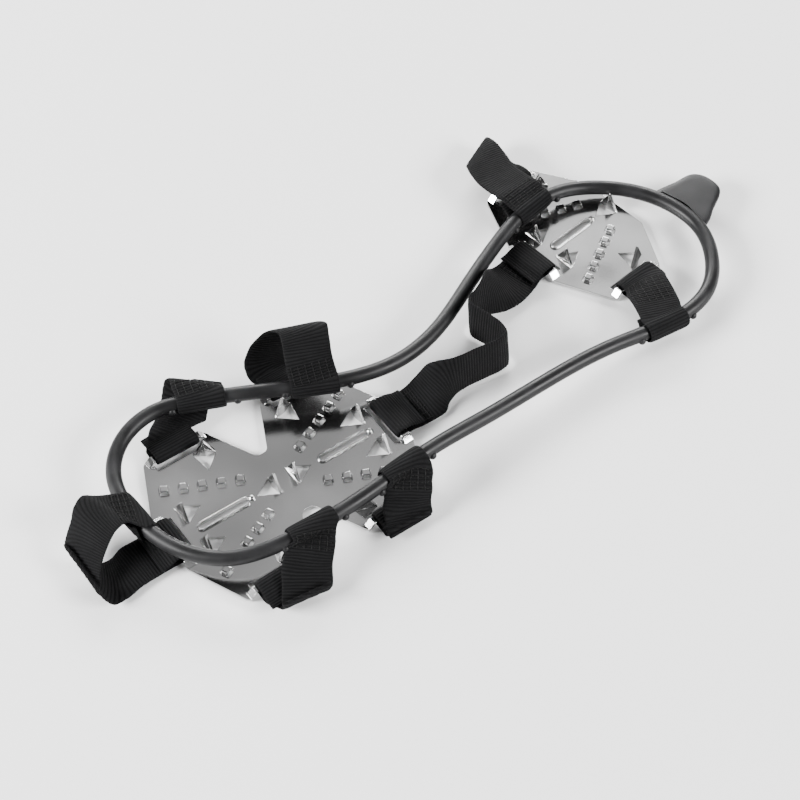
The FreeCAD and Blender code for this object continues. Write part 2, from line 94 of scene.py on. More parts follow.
# Plate bars: middle, direction along the bar, direction away from the plate, half width.
HEEL_TURN = math.radians(7.5)
HEEL_POS = (178.3, 37.8)

# Each strap: its body, where it holds the ring, the level way out from it, its bar, and its slack.
# A slack row is (x, y, z, turn, tilt): the middle of the webbing, and the line across it there, turned
# in plan from +X and tilted up, in degrees. The line needn't be square to the strap, as at a slant
# fold. These rows don't repeat the CAD straps' middle lines. The slack lies up to about 6 mm from the
# CAD solids, and 8 mm at the toe strap's fold.
STRAPS = {
    "toe_strap": dict(
        body=FORE, ring=("y", 14.0), out=(-1, 0, 0), bar="front", slant_limit=0.82,
        slack=[(-66.5, 16.5, 15.6, -72, 0), (-71, 19, 17.4, -68, 0), (-75, 18.4, 16.4, -68, 0),
               (-80.6, 15.6, 12, -78, 0), (-85.4, 12.2, 7.6, -86, -2), (-88.4, 8.6, 4.6, -89, -3),
               (-89.6, 6.6, 3, -90, -2), (-89.8, 5.5, 1.9, -90, -1), (-88.9, 4.2, 1.2, -92, 0),
               (-87, 1.4, 1.1, -97, 0), (-83.6, -1.4, 1.1, -102, 0), (-78.6, -1.8, 1.2, -101, 0),
               (-72.3, -0.2, 1.4, -96, 0), (-65, 0, 1.5, -90, 0)]),
    "front_strap_left": dict(
        body=FORE, ring=("x", -9.0, 1), out=(0.4, 1, 0), bar="front_left",
        slack=[(-8.2, 52, 16, -40, 0), (-7.4, 54.2, 15, -44, 0), (-8.2, 56, 12.2, -43, 0),
               (-10.1, 56.2, 9, -39, 0), (-14.2, 53, 5.6, -36, 0), (-20.4, 48, 3.2, -28, 0),
               (-24.8, 45.6, 1.8, -13, 0)]),
    "rear_strap_left": dict(
        body=FORE, ring=("x", 32.0, 1), out=(0.4, 1, 0), bar="rear_left",
        slack=[(32.4, 27, 20.6, -18, 0), (33.6, 31, 25.4, -18, 0), (36, 36.4, 29.6, -20, 0),
               (37.8, 41, 30.6, -21, 0), (37, 45, 28.4, -22, 0), (33, 49.6, 21.6, -20, 2),
               (28.6, 52, 13.6, -20, 4), (26, 52.2, 7.2, -16, 3), (26, 49.6, 3, -6, 0),
               (27.4, 46.4, 1.6, 0, 0)]),
    "front_strap_right": dict(
        body=FORE, ring=("x", -8.0, -1), out=(-0.2, -1, 0), bar="front_right",
        slack=[(-11.4, -37, 14.4, -11, 0), (-14.2, -40, 11.8, -15, 0), (-18.2, -44.4, 8.4, -17, 0),
               (-21.8, -49.6, 5, -14, 0), (-23.9, -52.6, 2.8, -9, 0), (-24.6, -53.3, 1.9, -8, 0),
               (-24.8, -52.8, 1.25, -8, 0), (-25.6, -50, 1.1, -7, 0), (-27, -46.6, 1.3, -2, 0)]),
    "rear_strap_right": dict(
        body=FORE, ring=("x", 37.0, -1), out=(-0.2, -1, 0), bar="rear_right",
        slack=[(35.2, -37, 14.2, -14, 0), (33.4, -39.4, 11, -13, 0), (30.6, -43, 7.4, -10, 0),
               (28.8, -46.6, 3.6, -6, 0), (28.2, -47.8, 1.9, -5, 0), (28, -47.2, 1.2, -4, 0),
               (27.9, -45.6, 1.3, 0, 0)]),
    "heel_strap_left": dict(
        body=HEEL, ring=("x", 168.0, 1), out=(0, 1, 0), bar="heel_left", slant_limit=0.8,
        slack=[(167.2, 62, 15.4, -2, 0), (166.4, 69.3, 14, 1, 0), (166.4, 77, 12.4, 6, 0),
               (168, 86, 11.4, 14, 0), (169.6, 94.6, 10, 24, 0), (170.6, 98, 7.6, 27, 0),
               (171, 97.4, 5, 27, 0), (171.6, 93.4, 3.2, 20, 0), (172.8, 86, 1.7, 8, 0)]),
}


# ---- settings ------------------------------------------------------------------------------

class WebbingSettings(bpy.types.PropertyGroup):
    width: bpy.props.FloatProperty(
        name="Width", description="Width of the webbing", default=0.020, unit="LENGTH")
    thickness: bpy.props.FloatProperty(
        name="Thickness", description="Thickness of one layer of webbing", default=0.0013,
        unit="LENGTH")
    rib_pitch: bpy.props.FloatProperty(
        name="Rib pitch", description="Distance from one cross rib to the next", default=0.00125,
        unit="LENGTH")
    rib_height: bpy.props.FloatProperty(
        name="Rib height", description="How far a rib stands above its groove", default=0.00026,
        unit="LENGTH")
    scallop: bpy.props.FloatProperty(
        name="Edge scallop", description="How far each rib bulges at the selvedge", default=0.00016,
        unit="LENGTH")
    colour: bpy.props.FloatVectorProperty(
        name="Colour", description="Colour of the yarn", default=(0.0045, 0.0045, 0.0048), subtype="COLOR")


class ThreadSettings(bpy.types.PropertyGroup):
    radius: bpy.props.FloatProperty(
        name="Thread radius", description="Radius of the sewing thread", default=0.00016, unit="LENGTH")
    stitch: bpy.props.FloatProperty(
        name="Stitch", description="Length of one stitch", default=0.0021, unit="LENGTH")
    spacing: bpy.props.FloatProperty(
        name="Row spacing", description="Distance between sewn rows", default=0.0024, unit="LENGTH")
    colour: bpy.props.FloatVectorProperty(
        name="Colour", description="Colour of the thread", default=(0.004, 0.004, 0.004), subtype="COLOR")


class RubberSettings(bpy.types.PropertyGroup):
    tube_radius: bpy.props.FloatProperty(
        name="Tube radius", description="Radius of the ring's tube", default=0.0032, unit="LENGTH")
    nub_radius: bpy.props.FloatProperty(
        name="Nub radius", description="Radius of the small stops beside each strap", default=0.0017,
        unit="LENGTH")
    nub_offset: bpy.props.FloatProperty(
        name="Nub offset", description="Distance from a strap's middle to its stops", default=0.0136,
        unit="LENGTH")
    colour: bpy.props.FloatVectorProperty(
        name="Colour", description="Colour of the rubber", default=(0.009, 0.009, 0.0095), subtype="COLOR")


class SteelSettings(bpy.types.PropertyGroup):
    colour: bpy.props.FloatVectorProperty(
        name="Colour", description="Colour of the polished steel", default=(0.56, 0.56, 0.56),
        subtype="COLOR")
    edge_radius: bpy.props.FloatProperty(
        name="Edge radius", description="Rounding of the stamped edges", default=0.0003, unit="LENGTH")


class StageSettings(bpy.types.PropertyGroup):
    camera: bpy.props.FloatVectorProperty(
        name="Camera", description="Where the camera stands", default=(-0.2344, -0.4086, 0.6623),
        subtype="TRANSLATION", unit="LENGTH")
    target: bpy.props.FloatVectorProperty(
        name="Target", description="The point that the camera faces", default=(0.0619, 0.0061, 0.0012),
        subtype="TRANSLATION", unit="LENGTH")
    lens: bpy.props.FloatProperty(
        name="Lens", description="Focal length in millimetres", default=90.0)
    floor: bpy.props.FloatVectorProperty(
        name="Floor", description="Colour of the floor", default=(0.92, 0.92, 0.92), subtype="COLOR")


def settings(name):
    return getattr(bpy.context.scene, "microspikes_" + name)


# ---- smooth lines --------------------------------------------------------------------------

def slopes(points, closed):
    """The slope at each point by chord length, and the chords."""
    ahead = (np.roll(points, -1, axis=0) if closed else points[1:]) - (points if closed else points[:-1])
    chord = np.linalg.norm(ahead[:, :3], axis=1)
    rise = ahead / chord[:, None]
    if not closed:
        before, after = chord[:-1, None], chord[1:, None]
        inner = (after * rise[:-1] + before * rise[1:]) / (before + after)
        return np.vstack([rise[:1], inner, rise[-1:]]), chord
    count, before = len(points), np.roll(chord, 1)
    system = np.zeros((count, count))
    for i in range(count):
        system[i, i - 1] = chord[i]
        system[i, i] = 2 * (before[i] + chord[i])
        system[i, (i + 1) % count] = before[i]
    right = 3 * (chord[:, None] * np.roll(rise, 1, axis=0) + before[:, None] * rise)
    return np.linalg.solve(system, right), chord


def dense_line(points, closed=False, steps=24):
    """Many points along the smooth line, and the distance along it of each given point."""
    points = np.asarray(points, float)
    slope, chord = slopes(points, closed)
    t = np.linspace(0, 1, steps, endpoint=False)[:, None]
    found = []
    for i, span in enumerate(chord):
        j = (i + 1) % len(points)
        found.append((2 * t**3 - 3 * t**2 + 1) * points[i] + (t**3 - 2 * t**2 + t) * span * slope[i]
                     + (3 * t**2 - 2 * t**3) * points[j] + (t**3 - t**2) * span * slope[j])
    found.append(points[:1] if closed else points[-1:])
    line = np.vstack(found)
    run = np.concatenate([[0], np.cumsum(np.linalg.norm(np.diff(line[:, :3], axis=0), axis=1))])
    return line, run, run[::steps]


def evenly(line, run, step, parts=1):
    """The line again at even distances of about step, in a whole number of parts."""
    count = max(parts, int(round(run[-1] / step / parts)) * parts)
    at = np.linspace(0, run[-1], count + 1)
    return np.stack([np.interp(at, run, column) for column in line.T], axis=1), at


def unit(vectors):
    return vectors / np.linalg.norm(vectors, axis=-1, keepdims=True)


RING_LINE, RING_RUN, _ = dense_line(RING, closed=True)
RING_WAY = unit(np.gradient(RING_LINE, axis=0))


def ring_index(where):
    """The ring's sample that a strap holds: by x on one side, or by y at the toe."""
    if where[0] == "y":
        on = RING_LINE[:, 0] < 0
        miss = abs(RING_LINE[:, 1] - where[1]) + np.where(on & (RING_LINE[:, 0] < -50), 0, 1e6)
    else:
        on = (RING_LINE[:, 1] - RING_MIDDLE_Y) * where[2] > 0
        miss = abs(RING_LINE[:, 0] - where[1]) + np.where(on, 0, 1e6)
    return int(np.argmin(miss))


# ---- plate bars ----------------------------------------------------------------------------

def on_heel(x, y):
    c, s = math.cos(HEEL_TURN), math.sin(HEEL_TURN)
    return np.array([HEEL_POS[0] + c * x - s * y, HEEL_POS[1] + s * x + c * y, 0.0])


def turned(x, y):
    return on_heel(x, y) - on_heel(0, 0)


def bar(name):
    """Middle of a plate's bar, its direction, the way out from the plate, and its half width."""
    side, end = 1.7, 2.1
    bars = {
        "front": (np.array([-52.4, 0, 0]), np.array([0.0, 1, 0]), np.array([-1.0, 0, 0]), end),
        "rear": (np.array([52.4, 0, 0]), np.array([0.0, 1, 0]), np.array([1.0, 0, 0]), end),
        "front_left": (np.array([-27.9, 38.3, 0]), np.array([1.0, 0, 0]), np.array([0, 1.0, 0]), side),
        "front_right": (np.array([-27.9, -38.3, 0]), np.array([1.0, 0, 0]), np.array([0, -1.0, 0]), side),
        "rear_left": (np.array([27.9, 38.3, 0]), np.array([1.0, 0, 0]), np.array([0, 1.0, 0]), side),
        "rear_right": (np.array([27.9, -38.3, 0]), np.array([1.0, 0, 0]), np.array([0, -1.0, 0]), side),
        "heel_left": (on_heel(1, 38.3), turned(1, 0), turned(0, 1), side),
        "heel_right": (on_heel(1, -38.3), turned(1, 0), turned(0, -1), side),
        "heel_front": (on_heel(-23.5, 0), turned(0, 1), turned(-1, 0), end),
    }
    return bars[name]


# ---- bands of webbing ----------------------------------------------------------------------
# A band's rows are (x, y, z, width direction), from one end of the webbing to the other.

ACROSS = np.array([-1, -0.985, -0.94, -0.84, -0.66, -0.44, -0.22, 0, 0.22, 0.44, 0.66, 0.84, 0.94, 0.985, 1])


def row(spot, turn, tilt=0.0):
    """A row at a spot, with its width line turned in plan and tilted up, in degrees."""
    turn, tilt = math.radians(turn), math.radians(tilt)
    return np.array([*spot, math.cos(turn) * math.cos(tilt), math.sin(turn) * math.cos(tilt), math.sin(tilt)])


def rows_of(spots, start, end):
    """Rows through the spots, with the width turning evenly from start to end."""
    found = []
    for k, spot in enumerate(spots):
        t = min(1.0, (k + 1) / max(1, len(spots) - 1))
        found.append(np.concatenate([spot, unit(start * (1 - t) + end * t)]))
    return found


def facing(direction, like):
    return direction if np.dot(direction, like) > 0 else -direction


def tunnel_rows(index, along, out, leg):
    """Rows of the sewn tail, and rows close round the ring's tube to where the leg towards a row leaves."""
    webbing, rubber = settings("webbing"), settings("rubber")
    thick = webbing.thickness / MM
    radius = rubber.tube_radius / MM + thick / 2 + 0.3
    centre = RING_LINE[index]
    side = unit(out - along * np.dot(out, along))
    up = np.cross(side, along)
    up = up if up[2] > 0 else -up
    towards = leg[:3] - centre
    way = math.atan2(np.dot(towards, up), np.dot(towards, side))
    angles = way - np.radians(np.linspace(62, 298, 11))
    round_tube = [np.concatenate([centre + (side * math.cos(a) + up * math.sin(a)) * radius, along])
                  for a in angles]
    under = side * math.sin(way) - up * math.cos(way)
    tail = [np.concatenate([centre + unit(towards) * d + under * (thick + 0.15),
                            unit(along * (1 - t) + leg[3:] * t)])
            for d, t in ((9.6, 1.0), (8.2, 0.8), (6.8, 0.5))]
    return tail, round_tube


def wrap_rows(name, like=None, tail=True):
    """Rows that come in under a bar, turn up through its slot and lie back over it."""
    middle, along, out, half = bar(name)
    along = along if like is None else facing(along, like)
    low, high = 1.45, 5.0
    inside = -half - 1.0
    turn = (high - low) / 2
    spots = [(6.0, low), (inside + turn, low), (inside + turn * 0.3, low + turn * 0.35), (inside, low + turn),
             (inside + turn * 0.3, high - turn * 0.35), (inside + turn, high), (2.4, high)]
    if tail:
        spots += [(5.2, 4.4), (8.0, 3.2), (11.0, 3.0)]
    return [np.concatenate([middle + out * d + np.array([0, 0, z]), along]) for d, z in spots]


def ring_strap_rows(strap):
    """Rows of a strap from its sewn end, round the tube, through the slack and round its bar."""
    index = ring_index(strap["ring"])
    slack = [row(spot[:3], *spot[3:]) for spot in strap["slack"]]
    along = facing(RING_WAY[index], slack[0][3:])
    tail, round_tube = tunnel_rows(index, along, np.asarray(strap["out"], float), slack[1])
    return tail + round_tube + slack + wrap_rows(strap["bar"], slack[-1][3:]), len(tail) + len(round_tube) - 1


def taut_heel_rows():
    """Rows of the right heel strap, pulled flat between its bar and the ring."""
    index = ring_index(("x", TAUT_STRAP_X, -1))
    _, bar_along, out, _ = bar("heel_right")
    along = facing(RING_WAY[index], bar_along)
    wrap = wrap_rows("heel_right", tail=False)
    start = wrap[-1][:3]
    tail, round_tube = tunnel_rows(index, along, -out, np.concatenate([start, along]))
    round_tube, tail = round_tube[::-1], tail[::-1]
    run = round_tube[0][:3] - start
    lift = [start + run * t + np.array([0, 0, 1.2 * math.sin(math.pi * t)]) for t in (0.3, 0.6, 0.85)]
    return wrap + rows_of(lift, bar_along, along) + round_tube + tail, len(wrap) - 1


def connecting_rows():
    """Rows of the strap between the plates, whose middle stands on edge and turns twice."""
    lean = unit(np.array([0.0, 0.12, 1.0]))
    level, rear_level = np.array([0.0, 1.0, 0.0]), bar("heel_front")[1]
    front = [(62, -0.4), (67, -0.8), (72.5, -1.4), (78, -2), (83, -2.6)]
    middle = [(88, -3), (94, -3.4), (100, -4), (106, -4.6), (110.6, -3.2), (111.6, 1), (110.4, 7),
              (108.4, 13.5), (107.4, 18), (109.2, 21), (113.6, 22.4)]
    rear = [(120, 24.2), (128, 26.4), (136, 29), (143, 31.6)]
    rows = wrap_rows("rear")[::-1]
    first = len(rows)
    rows += [np.array([x, y, 0, *unit(level * (1 - t) + lean * t)])
             for (x, y), t in zip(front, (0.02, 0.1, 0.35, 0.7, 0.92))]
    rows += [np.array([x, y, 0, *lean]) for x, y in middle]
    rows += [np.array([x, y, 0, *unit(rear_level * (1 - t) + lean * t)])
             for (x, y), t in zip(rear, (0.85, 0.5, 0.18, 0.03))]
    last = len(rows)
    rows += wrap_rows("heel_front")
    return rows, first, last


def eased(values, run, rate):
    """The values along a run, with no change faster than the rate."""
    reach = rate * abs(run[:, None] - run[None, :])
    return ((values[None, :] + reach).min(axis=1) + (values[None, :] - reach).max(axis=1)) / 2


def above_floor(rows):
    """The rows, each raised where an edge of the webbing would dip under the floor."""
    webbing = settings("webbing")
    half, thick = webbing.width / MM / 2, webbing.thickness / MM / 2
    rows = np.array(rows)
    for _ in range(4):
        heading = np.gradient(rows[:, :3], axis=0)
        normal = unit(np.cross(rows[:, 3:], heading))
        across = unit(np.cross(heading, normal))
        lowest = half * abs(across[:, 2]) + thick * abs(normal[:, 2]) + 0.5
        rows[:, 2] = np.maximum(rows[:, 2], lowest)
    return rows


class Band:
    """A laid strap: a grid of points, evenly spaced along the webbing and set across it, with its normals."""

    def __init__(self, rows, slant_limit=0.5):
        webbing = settings("webbing")
        self.pitch = webbing.rib_pitch / MM
        self.half = webbing.width / MM / 2
        line, run, self.marks = dense_line(above_floor(rows))
        line, run = evenly(line, run, 0.3)
        centre, across = line[:, :3], unit(line[:, 3:])
        heading = unit(np.gradient(centre, axis=0))
        given = np.einsum("ij,ij->i", across, heading)
        slant = np.clip(given, -slant_limit, slant_limit)
        ratio = eased(slant / np.sqrt(1 - slant**2), run, 0.6 / self.half)
        square = 1 / np.sqrt(1 + ratio**2)
        count = int(round(run[-1] / self.pitch)) * 4
        self.at = np.linspace(0, run[-1], count + 1)
        columns = []
        for side in ACROSS * self.half:
            reach = np.maximum.accumulate(run + side * ratio) + run * 1e-6
            points = centre + across * (side / square)[:, None]
            columns.append(np.stack([np.interp(self.at, reach, values) for values in points.T], axis=1))
        self.grid = np.stack(columns, axis=1)
        self.grid[..., 2] = np.maximum(self.grid[..., 2], FLOOR_GAP)
        along = unit(np.gradient(self.grid, axis=0) + 1e-9)
        self.across = unit(np.gradient(self.grid, axis=1))
        self.normal = unit(np.cross(self.across, along))

    def spot(self, at, side, lift):
        """The point at a distance along, a distance across and a height above the middle."""
        row_at = np.interp(at, self.at, np.arange(len(self.at)))
        column = np.interp(side, ACROSS * self.half, np.arange(len(ACROSS)))
        i, j = min(int(row_at), len(self.at) - 2), min(int(column), len(ACROSS) - 2)
        a, b = row_at - i, column - j

        def pick(grid):
            return ((grid[i, j] * (1 - a) + grid[i + 1, j] * a) * (1 - b)
                    + (grid[i, j + 1] * (1 - a) + grid[i + 1, j + 1] * a) * b)
        return pick(self.grid) + pick(self.normal) * lift


# ---- meshes --------------------------------------------------------------------------------

def new_piece(name, verts, faces, material, smooth=True):
    mesh = bpy.data.meshes.new(name)
    mesh.from_pydata([tuple(v) for v in verts], [], faces)
    mesh.update()
    mesh.polygons.foreach_set("use_smooth", [smooth] * len(mesh.polygons))
    mesh.materials.append(material)
    piece = bpy.data.objects.new(name, mesh)
    bpy.context.scene.collection.objects.link(piece)
    return piece


def webbing_mesh(name, band, material, seed):
    """The band as a closed strip with raised cross ribs, scalloped edges and a slight unevenness."""
    webbing = settings("webbing")
    half, thick = webbing.width / MM / 2, webbing.thickness / MM / 2
    rib_height, scallop = webbing.rib_height / MM, webbing.scallop / MM
    dice = np.random.default_rng(seed)
    phases = dice.uniform(0, 2 * math.pi, 6)
    rows, cols = len(band.at), len(ACROSS)
    rib = abs(np.sin(math.pi * band.at / band.pitch))
    uneven = 1 + 0.12 * np.sin(band.at / 2.9 + phases[0]) * np.sin(band.at / 7.7 + phases[1])
    wider = scallop * (rib * uneven - 0.6) + 0.12 * np.sin(band.at / 6.1 + phases[2])
    cup = 0.22 * np.sin(band.at / 9.0 + phases[3])[:, None] * (ACROSS**2 - 0.4)
    cup = cup + 0.16 * np.sin(band.at / 5.2 + phases[4])[:, None] * ACROSS
    fade = np.minimum(1, np.minimum(band.at, band.at[-1] - band.at) / 6)[:, None]
    body = thick * np.sqrt(np.clip(1 - abs(ACROSS) ** 9, 0, 1))
    relief = rib_height * (rib[:, None] - 1) * np.clip(1.15 - abs(ACROSS) ** 6, 0, 1)
    top = cup * fade + body + relief
    bottom = cup * fade - body - relief
    side = wider[:, None] * ACROSS
    faces_of = []
    for height, order in ((top, slice(None)), (bottom, slice(None, None, -1))):
        points = band.grid + band.across * side[..., None] + band.normal * height[..., None]
        faces_of.append(points[:, order, :])
    loop = np.concatenate([faces_of[0], faces_of[1][:, 1:-1, :]], axis=1)
    count = loop.shape[1]
    verts = loop.reshape(-1, 3) * MM
    faces = []
    for r in range(rows - 1):
        near, far = r * count, (r + 1) * count
        faces += [(near + c, near + (c + 1) % count, far + (c + 1) % count, far + c) for c in range(count)]
    faces.append(tuple(range(count))[::-1])
    faces.append(tuple((rows - 1) * count + c for c in range(count)))
    piece = new_piece(name, verts, faces, material)
    spread = np.concatenate([ACROSS, ACROSS[::-1][1:-1], ACROSS[:1]]) * half
    uv = piece.data.uv_layers.new(name="yarn")
    values = np.zeros((len(piece.data.loops), 2))
    k = 0
    for r in range(rows - 1):
        for c in range(count):
            a, b = spread[c], spread[c + 1]
            lo, hi = band.at[r] / band.pitch, band.at[r + 1] / band.pitch
            values[k:k + 4] = ((lo, a), (lo, b), (hi, b), (hi, a))
            k += 4
    uv.data.foreach_set("uv", values.ravel())
    turn_outwards(piece)
    return piece


def turn_outwards(piece):
    """Flips every face if the closed mesh was built inside out."""
    mesh = piece.data
    verts = np.zeros(len(mesh.vertices) * 3)
    mesh.vertices.foreach_get("co", verts)
    verts = verts.reshape(-1, 3)
    mesh.calc_loop_triangles()
    corners = np.zeros(len(mesh.loop_triangles) * 3, int)
    mesh.loop_triangles.foreach_get("vertices", corners)
    a, b, c = (verts[corners.reshape(-1, 3)[:, k]] for k in range(3))
    if np.einsum("ij,ij->i", a, np.cross(b, c)).sum() < 0:
        mesh.flip_normals()


# ---- geometry nodes ------------------------------------------------------------------------

def node_tree(name, kind, inputs, outputs):
    """A node group with its sockets, its two end nodes and a dictionary of its sockets' identifiers."""
    tree = bpy.data.node_groups.new(name, kind)
    ids = {}
    for title, socket_type, default in inputs:
        socket = tree.interface.new_socket(name=title, in_out="INPUT", socket_type=socket_type)
        if default is not None:
            socket.default_value = default
        ids[title] = socket.identifier
    for title, socket_type in outputs:
        tree.interface.new_socket(name=title, in_out="OUTPUT", socket_type=socket_type)
    return tree, tree.nodes.new("NodeGroupInput"), tree.nodes.new("NodeGroupOutput"), ids


def sweep_tree():
    """Geometry nodes that turn lines into round strands, with a ball at each marked point."""
    tree, start, end, ids = node_tree(
        "Round strands", "GeometryNodeTree",
        [("Geometry", "NodeSocketGeometry", None), ("Strand radius", "NodeSocketFloat", 0.001),
         ("Sides", "NodeSocketInt", 8), ("Ball radius", "NodeSocketFloat", 0.001),
         ("Material", "NodeSocketMaterial", None)],
        [("Geometry", "NodeSocketGeometry")])
    add, link = tree.nodes.new, tree.links.new
    to_curve, profile, sweep = add("GeometryNodeMeshToCurve"), add("GeometryNodeCurvePrimitiveCircle"), add(
        "GeometryNodeCurveToMesh")
    link(start.outputs["Geometry"], to_curve.inputs["Mesh"])
    link(start.outputs["Sides"], profile.inputs["Resolution"])
    link(start.outputs["Strand radius"], profile.inputs["Radius"])
    link(to_curve.outputs["Curve"], sweep.inputs["Curve"])
    link(profile.outputs["Curve"], sweep.inputs["Profile Curve"])
    sweep.inputs["Fill Caps"].default_value = True
    mark = add("GeometryNodeInputNamedAttribute")
    mark.data_type = "BOOLEAN"
    mark.inputs["Name"].default_value = "ball"
    ball, place = add("GeometryNodeMeshIcoSphere"), add("GeometryNodeInstanceOnPoints")
    ball.inputs["Subdivisions"].default_value = 3
    link(start.outputs["Ball radius"], ball.inputs["Radius"])
    link(start.outputs["Geometry"], place.inputs["Points"])
    link(mark.outputs["Attribute"], place.inputs["Selection"])
    link(ball.outputs["Mesh"], place.inputs["Instance"])
    join, real, smooth, paint = (add("GeometryNodeJoinGeometry"), add("GeometryNodeRealizeInstances"),
                                 add("GeometryNodeSetShadeSmooth"), add("GeometryNodeSetMaterial"))
    link(sweep.outputs["Mesh"], join.inputs["Geometry"])
    link(place.outputs["Instances"], join.inputs["Geometry"])
    link(join.outputs["Geometry"], smooth.inputs["Geometry"])
    link(smooth.outputs["Geometry"], real.inputs["Geometry"])
    link(real.outputs["Geometry"], paint.inputs["Geometry"])
    link(start.outputs["Material"], paint.inputs["Material"])
    link(paint.outputs["Geometry"], end.inputs["Geometry"])
    return tree, ids


def strands(name, lines, closed, radius, sides, material, balls=(), ball_radius=0.001):
    """One piece of round strands that follow the lines, with balls at the given points."""
    verts, edges = [], []
    for line in lines:
        first = len(verts)
        verts += [tuple(p) for p in line]
        edges += [(first + k, first + k + 1) for k in range(len(line) - 1)]
        if closed:
            edges.append((len(verts) - 1, first))
    marked = len(verts)
    verts += [tuple(p) for p in balls]
    mesh = bpy.data.meshes.new(name)
    mesh.from_pydata(verts, edges, [])
    mesh.attributes.new("ball", "BOOLEAN", "POINT").data.foreach_set(
        "value", [k >= marked for k in range(len(verts))])
    piece = bpy.data.objects.new(name, mesh)
    bpy.context.scene.collection.objects.link(piece)
    if "sweep" not in MADE:
        MADE["sweep"] = sweep_tree()
    tree, ids = MADE["sweep"]
    nodes = piece.modifiers.new("Strands", "NODES")
    nodes.node_group = tree
    for title, value in (("Strand radius", radius), ("Sides", sides), ("Ball radius", ball_radius),
                         ("Material", material)):
        nodes[ids[title]] = value
    bpy.context.view_layer.update()
    graph = bpy.context.evaluated_depsgraph_get()
    plain = bpy.data.meshes.new_from_object(piece.evaluated_get(graph), depsgraph=graph)
    piece.modifiers.clear()
    piece.data = plain
    plain.name = name
    for extra in [a.name for a in plain.attributes if a.name == "ball"]:
        plain.attributes.remove(plain.attributes[extra])
    return piece


MADE = {}


# ---- shader groups -------------------------------------------------------------------------

def grain_group():
    """Fine surface grain: an uneven height, and a mask of soft patches."""
    if "grain" in MADE:
        return MADE["grain"]
    tree, start, end, _ = node_tree(
        "Surface grain", "ShaderNodeTree",
        [("Vector", "NodeSocketVector", None), ("Grain scale", "NodeSocketFloat", 900.0),
         ("Patch scale", "NodeSocketFloat", 40.0), ("Detail", "NodeSocketFloat", 3.0)],
        [("Height", "NodeSocketFloat"), ("Patches", "NodeSocketFloat")])
    for title, scale, out in (("Grain", "Grain scale", "Height"), ("Patch", "Patch scale", "Patches")):
        noise = tree.nodes.new("ShaderNodeTexNoise")
        noise.label = title
        tree.links.new(start.outputs["Vector"], noise.inputs["Vector"])
        tree.links.new(start.outputs[scale], noise.inputs["Scale"])
        tree.links.new(start.outputs["Detail"], noise.inputs["Detail"])
        tree.links.new(noise.outputs["Fac"], end.inputs[out])
    MADE["grain"] = tree
    return tree


class Shader:
    """Short-hand for building one material's nodes."""

    def __init__(self, name):
        self.material = bpy.data.materials.new(name)
        self.material.use_nodes = True
        self.tree = self.material.node_tree
        self.shade = self.tree.nodes["Principled BSDF"]
        self.place = self.add("ShaderNodeTexCoord").outputs["Object"]

    def add(self, kind, **values):
        node = self.tree.nodes.new(kind)
        for key, value in values.items():
            setattr(node, key, value)
        return node

    def link(self, a, b):
        self.tree.links.new(a, b)

    def set(self, **values):
        for key, value in values.items():
            self.shade.inputs[key.replace("_", " ")].default_value = value

    def math(self, operation, *values):
        node = self.add("ShaderNodeMath", operation=operation)
        for socket, value in zip(node.inputs, values):
            if isinstance(value, (int, float)):
                socket.default_value = value
            else:
                self.link(value, socket)
        return node.outputs[0]

    def grain(self, grain_scale, patch_scale, detail=3.0, vector=None):
        node = self.add("ShaderNodeGroup", node_tree=grain_group())
        self.link(vector or self.place, node.inputs["Vector"])
        node.inputs["Grain scale"].default_value = grain_scale
        node.inputs["Patch scale"].default_value = patch_scale
        node.inputs["Detail"].default_value = detail
        return node.outputs["Height"], node.outputs["Patches"]

    def span(self, value, low, high, to_low, to_high):
        """The value taken from one range to another, held at its ends."""
        node = self.add("ShaderNodeMapRange")
        self.link(value, node.inputs["Value"])
        for title, number in (("From Min", low), ("From Max", high), ("To Min", to_low), ("To Max", to_high)):
            node.inputs[title].default_value = number
        return node.outputs["Result"]

    def mix(self, factor, dark, light):
        node = self.add("ShaderNodeMix", data_type="RGBA")
        self.link(factor, node.inputs["Factor"])
        for socket, value in ((node.inputs[6], dark), (node.inputs[7], light)):
            if isinstance(value, tuple):
                socket.default_value = value
            else:
                self.link(value, socket)
        return node.outputs[2]

    def bump(self, height, distance, strength=1.0, normal=None):
        node = self.add("ShaderNodeBump")
        node.inputs["Distance"].default_value = distance
        node.inputs["Strength"].default_value = strength
        self.link(height, node.inputs["Height"])
        if normal is not None:
            self.link(normal, node.inputs["Normal"])
        return node.outputs["Normal"]


def shade_of(colour, factor):
    return tuple(min(1.0, c * factor) for c in colour) + (1.0,)


def steel_material():
    """Polished stainless sheet: slight waves from pressing, fine rubbed lines and rounded edges."""
    if "steel" in MADE:
        return MADE["steel"]
    steel, s = settings("steel"), Shader("polished_steel")
    s.set(Metallic=1.0)
    wave, patches = s.grain(38.0, 24.0, 1.0)
    stretch = s.add("ShaderNodeMapping")
    stretch.inputs["Scale"].default_value = (1.0, 14.0, 1.0)
    stretch.inputs["Rotation"].default_value = (0.0, 0.0, 0.5)
    s.link(s.place, stretch.inputs["Vector"])
    lines, _ = s.grain(420.0, 60.0, 2.0, stretch.outputs["Vector"])
    colour = s.mix(s.span(patches, 0.35, 0.65, 0.0, 1.0), shade_of(steel.colour, 0.82),
                   shade_of(steel.colour, 1.08))
    s.link(colour, s.shade.inputs["Base Color"])
    s.link(s.span(patches, 0.3, 0.7, 0.09, 0.2), s.shade.inputs["Roughness"])
    bevel = s.add("ShaderNodeBevel", samples=6)
    bevel.inputs["Radius"].default_value = steel.edge_radius
    waves = s.bump(wave, 0.0011, 0.55, bevel.outputs["Normal"])
    s.link(s.bump(lines, 0.00002, 0.5, waves), s.shade.inputs["Normal"])
    MADE["steel"] = s.material
    return s.material


